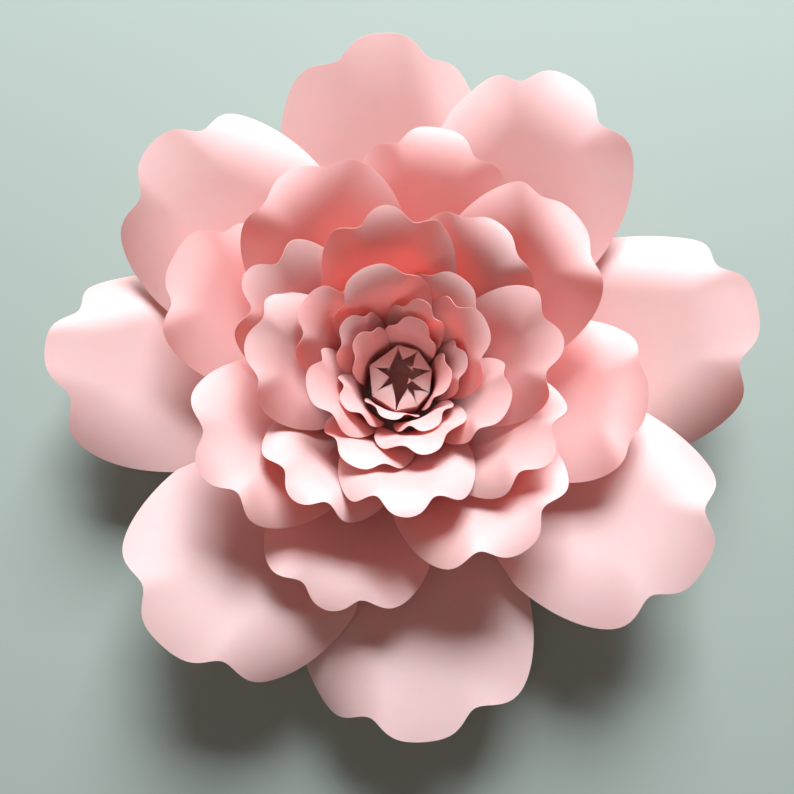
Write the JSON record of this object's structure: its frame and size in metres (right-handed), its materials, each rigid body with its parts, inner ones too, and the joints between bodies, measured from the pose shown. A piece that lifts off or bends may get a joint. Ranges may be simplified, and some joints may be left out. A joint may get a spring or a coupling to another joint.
{
  "type": "giant paper flower",
  "caption": "Giant paper flower with nested rings of curled, lobed card petals glued to a round backing disc around a folded paper crown",
  "frame": {"origin": "middle of the flat back of the backing disc, on the surface the flower rests on", "axes": "+Z points out of the flower through the crown, away from the surface; +Y points to the top of the picture; +X to its right"},
  "size_m": [0.5102, 0.5064, 0.1443],
  "materials": {
    "pink_card": "matte blush pink card stock with a fine fibre grain"
  },
  "bodies": {
    "root": {"backing_disc": "pink_card", "outer_petal_1": "pink_card", "outer_petal_2": "pink_card", "outer_petal_3": "pink_card", "outer_petal_4": "pink_card", "outer_petal_5": "pink_card", "outer_petal_6": "pink_card", "outer_petal_7": "pink_card", "outer_petal_8": "pink_card", "second_petal_1": "pink_card", "second_petal_2": "pink_card", "second_petal_3": "pink_card", "second_petal_4": "pink_card", "second_petal_5": "pink_card", "second_petal_6": "pink_card", "second_petal_7": "pink_card", "second_petal_8": "pink_card", "third_petal_1": "pink_card", "third_petal_2": "pink_card", "third_petal_3": "pink_card", "third_petal_4": "pink_card", "third_petal_5": "pink_card", "third_petal_6": "pink_card", "third_petal_7": "pink_card", "third_petal_8": "pink_card", "fourth_petal_1": "pink_card", "fourth_petal_2": "pink_card", "fourth_petal_3": "pink_card", "fourth_petal_4": "pink_card", "fourth_petal_5": "pink_card", "fourth_petal_6": "pink_card", "fourth_petal_7": "pink_card", "fourth_petal_8": "pink_card", "heart_petal_1": "pink_card", "heart_petal_2": "pink_card", "heart_petal_3": "pink_card", "heart_petal_4": "pink_card", "heart_petal_5": "pink_card", "inner_petal_1": "pink_card", "inner_petal_2": "pink_card", "inner_petal_3": "pink_card", "inner_petal_4": "pink_card", "fringed_crown": "pink_card"}
  },
  "joints": []
}
